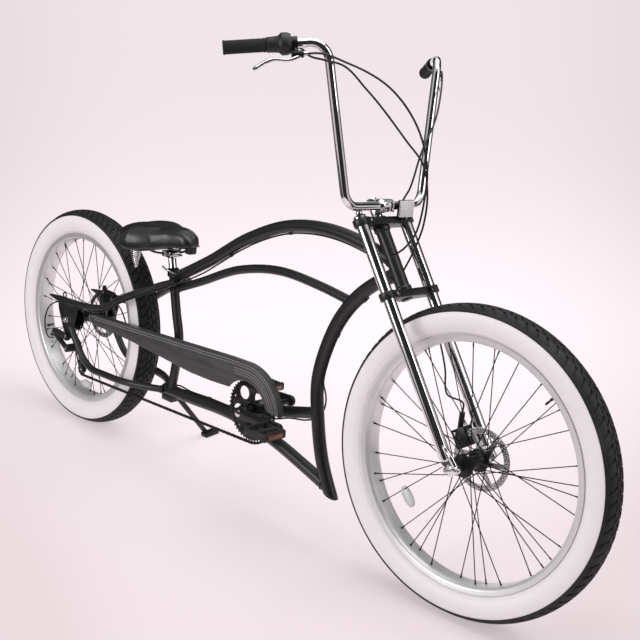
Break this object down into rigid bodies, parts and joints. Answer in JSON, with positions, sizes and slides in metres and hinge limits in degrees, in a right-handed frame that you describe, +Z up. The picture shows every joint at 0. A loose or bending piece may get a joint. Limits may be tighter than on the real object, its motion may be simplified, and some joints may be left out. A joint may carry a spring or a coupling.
{
  "type": "chopper bicycle",
  "caption": "Stretched chopper bicycle with high-rise handlebar, twin-crown fork, curved tube frame, chain guard and disc brakes, leaning on its side stand.",
  "frame": {"origin": "floor level under the middle of the parked bicycle's box", "axes": "+X forward along the bicycle, +Y to the rider's left, +Z up; the bicycle leans 6.5 degrees to its left on its side stand"},
  "size_m": [2.3924, 0.8046, 1.3798],
  "materials": {
    "black_paint": "matte black paint",
    "whitewall": "smooth white sidewall rubber",
    "tyre_black": "matte black rubber",
    "rim_silver": "satin silver",
    "spoke_black": "satin black",
    "rotor_steel": "brushed",
    "chain_steel": "dark oiled steel",
    "chrome": "polished",
    "grip_rubber": "matte black",
    "black_plastic": "matte black",
    "black_alloy": "satin black anodised",
    "saddle_vinyl": "smooth black vinyl",
    "guard_plastic": "satin dark grey, ribbed",
    "cable_housing": "matte black sheath"
  },
  "bodies": {
    "frame": {"head_tube": "black_paint", "seat_tube": "black_paint", "boom": "black_paint", "down_tube": "black_paint", "top_tube": "black_paint", "mid_tube": "black_paint", "bottom_bracket": "black_paint", "rear_stays_right": "black_paint", "rear_stays_left": "black_paint", "seat_post": "chrome", "seat_clamp": "black_alloy", "saddle_frame": "chrome", "saddle": "saddle_vinyl", "chain": "chain_steel", "chain_guard": "guard_plastic", "rear_derailleur": "black_plastic", "rear_axle": "chrome", "rear_caliper": "black_alloy", "stand_bracket": "black_paint", "cable_run_shift": "cable_housing", "cable_run_brake": "cable_housing"},
    "fork": {"upper_crown": "black_paint", "lower_crown": "black_paint", "fork_leg_right": "chrome", "fork_leg_left": "chrome", "front_axle": "chrome", "handlebar": "chrome", "stem": "chrome", "grip_right": "grip_rubber", "grip_left": "grip_rubber", "twist_shifter": "black_plastic", "brake_lever_right": "black_alloy", "brake_lever_left": "black_alloy", "front_caliper": "black_alloy", "cable_rear_brake": "cable_housing", "cable_shift": "cable_housing", "cable_front_brake": "cable_housing"},
    "front_wheel": {"front_whitewall": "whitewall", "front_tread": "tyre_black", "front_rim": "rim_silver", "front_hub_and_spokes": "spoke_black", "front_rotor": "rotor_steel"},
    "rear_wheel": {"rear_whitewall": "whitewall", "rear_tread": "tyre_black", "rear_rim": "rim_silver", "rear_hub_and_spokes": "spoke_black", "rear_rotor": "rotor_steel", "rear_sprockets": "chain_steel"},
    "cranks": {"chainring": "black_alloy", "crank_set": "black_alloy"},
    "right_pedal": {"pedal_right": "black_plastic"},
    "left_pedal": {"pedal_left": "black_plastic"},
    "stand": {"side_stand": "black_alloy"}
  },
  "joints": [
    {"name": "steering", "type": "hinge", "parent": "frame", "child": "fork", "pos_m": [0.55355, -0.0657, 0.7437], "axis": [-0.5519, 0.0944, 0.8285], "range_deg": [-39.3, 30.7], "deforming": ["cable_rear_brake", "cable_shift"]},
    {"name": "front_wheel_spin", "type": "hinge", "parent": "fork", "child": "front_wheel", "pos_m": [0.80834, -0.10557, 0.38498], "axis": [-0.0625, 0.9861, -0.154], "continuous": true},
    {"name": "rear_wheel_spin", "type": "hinge", "parent": "frame", "child": "rear_wheel", "pos_m": [-0.83162, -0.10905, 0.36326], "axis": [0, 0.9936, -0.1132], "continuous": true},
    {"name": "crank_spin", "type": "hinge", "parent": "frame", "child": "cranks", "pos_m": [0.07635, -0.11511, 0.31007], "axis": [0, 0.9936, -0.1132], "continuous": true},
    {"name": "right_pedal_spin", "type": "hinge", "parent": "cranks", "child": "right_pedal", "pos_m": [0.24135, -0.11443, 0.31603], "axis": [0, 0.9936, -0.1132], "continuous": true},
    {"name": "left_pedal_spin", "type": "hinge", "parent": "cranks", "child": "left_pedal", "pos_m": [-0.08865, -0.11579, 0.3041], "axis": [0, 0.9936, -0.1132], "continuous": true},
    {"name": "stand_fold", "type": "hinge", "parent": "frame", "child": "stand", "pos_m": [-0.37962, -0.09282, 0.20541], "axis": [-0.2375, 0.9473, 0.215], "range_deg": [0, 76], "stiffness_Nm_per_rad": 1.5, "springref_deg": -34.38}
  ]
}
